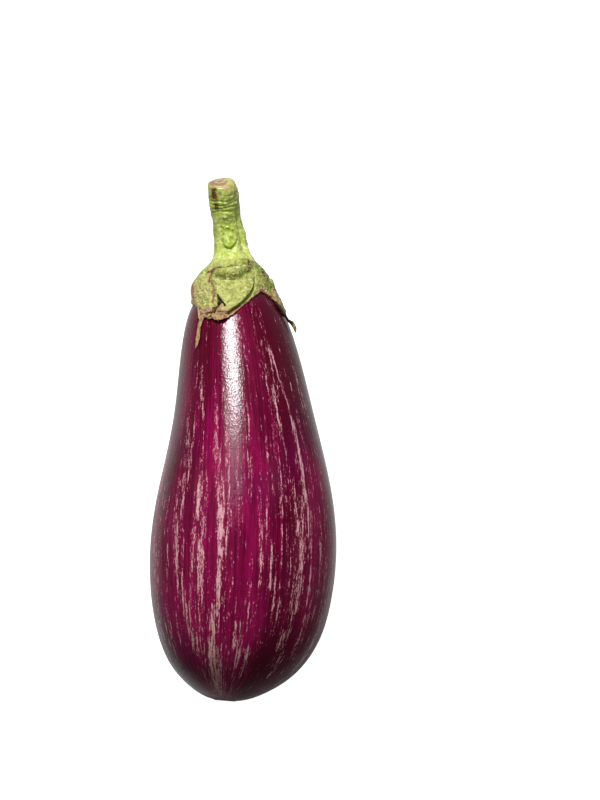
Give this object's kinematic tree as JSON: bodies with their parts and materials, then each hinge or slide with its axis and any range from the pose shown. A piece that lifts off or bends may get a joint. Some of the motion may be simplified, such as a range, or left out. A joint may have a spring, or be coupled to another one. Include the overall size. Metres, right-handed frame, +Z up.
{
  "type": "striped eggplant",
  "caption": "Whole striped eggplant lying on its side: a pear-shaped fruit with a lobed green calyx and a short cut stem, resting on a small flat spot.",
  "frame": {"origin": "on the resting surface, under the middle of the whole eggplant's box", "axes": "+Z up from the flat spot that it rests on, +Y from the blossom end towards the stem, +X across"},
  "size_m": [0.0788, 0.2202, 0.0786],
  "materials": {
    "skin": "glossy magenta-purple skin with pinkish-white streaks along its length",
    "calyx": "satin yellow-green calyx with dry tan-brown tips and scars",
    "stem": "satin light green stem with a pale tan cut end"
  },
  "bodies": {
    "root": {"fruit": "skin", "calyx": "calyx", "stem": "stem"}
  },
  "joints": []
}
